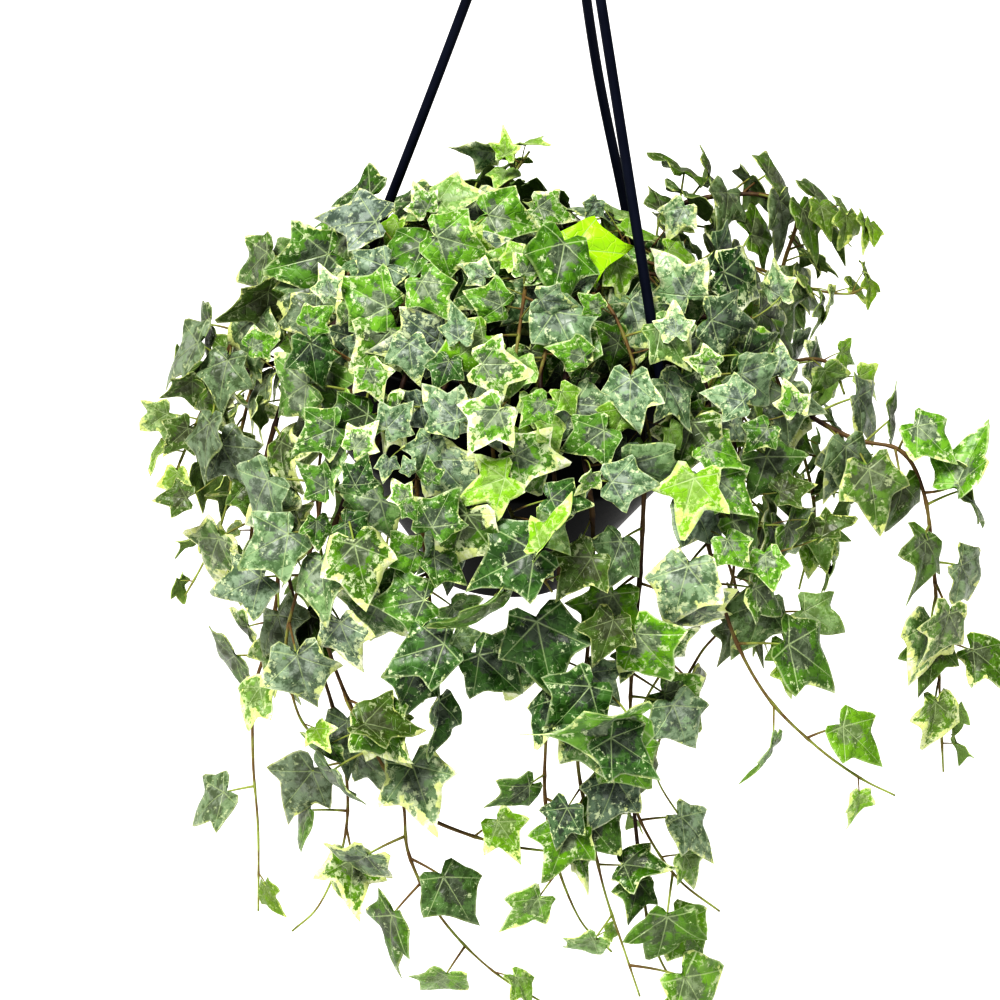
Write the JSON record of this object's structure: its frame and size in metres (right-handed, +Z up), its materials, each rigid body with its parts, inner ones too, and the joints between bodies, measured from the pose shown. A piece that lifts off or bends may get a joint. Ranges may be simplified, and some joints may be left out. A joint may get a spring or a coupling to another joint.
{
  "type": "potted trailing ivy",
  "caption": "Trailing english ivy with small cream and green lobed leaves, in a dark plastic hanging pot with a three-armed hanger and hook.",
  "frame": {"origin": "inner top of the hook's curve, where the hook bears on what holds it up", "axes": "+Z up; -Y towards the window side, which the picture shows; +X to the right seen from there"},
  "size_m": [0.4196, 0.306, 0.6333],
  "materials": {
    "plastic": "satin",
    "soil": "matte",
    "foliage": "satin"
  },
  "bodies": {
    "root": {"pot": "plastic", "soil": "soil", "hanger_hook": "plastic", "arm_left": "plastic", "arm_front_right": "plastic", "arm_back_right": "plastic", "vine_front_shoot": "foliage", "vine_front_left": "foliage", "vine_front_mid": "foliage", "vine_front_right": "foliage", "vine_mid_right": "foliage", "vine_right_front": "foliage", "vine_right_curtain": "foliage", "vine_right_far": "foliage", "vine_right_side": "foliage", "vine_back_right_arch": "foliage", "vine_back_right_side": "foliage", "vine_back_right_low": "foliage", "vine_back_right_two": "foliage", "vine_back_tuft": "foliage", "vine_back_mid_right": "foliage", "vine_back_mid": "foliage", "vine_back_mid_left": "foliage", "vine_back_left": "foliage", "vine_left_back": "foliage", "vine_left_shoulder": "foliage", "vine_left_low": "foliage", "vine_left_mid": "foliage", "vine_left_front": "foliage", "vine_bottom_long": "foliage", "vine_crown_01": "foliage", "vine_crown_02": "foliage", "vine_crown_03": "foliage", "vine_crown_04": "foliage", "vine_crown_05": "foliage", "vine_crown_06": "foliage", "vine_crown_07": "foliage", "vine_crown_08": "foliage", "vine_crown_09": "foliage", "vine_crown_10": "foliage", "vine_crown_11": "foliage", "vine_crown_12": "foliage", "vine_crown_13": "foliage", "vine_crown_14": "foliage", "vine_crown_15": "foliage", "vine_crown_16": "foliage", "vine_crown_17": "foliage", "vine_crown_18": "foliage", "vine_crown_19": "foliage", "vine_crown_20": "foliage", "vine_crown_21": "foliage", "vine_crown_22": "foliage", "vine_crown_23": "foliage", "vine_crown_24": "foliage"}
  },
  "joints": []
}
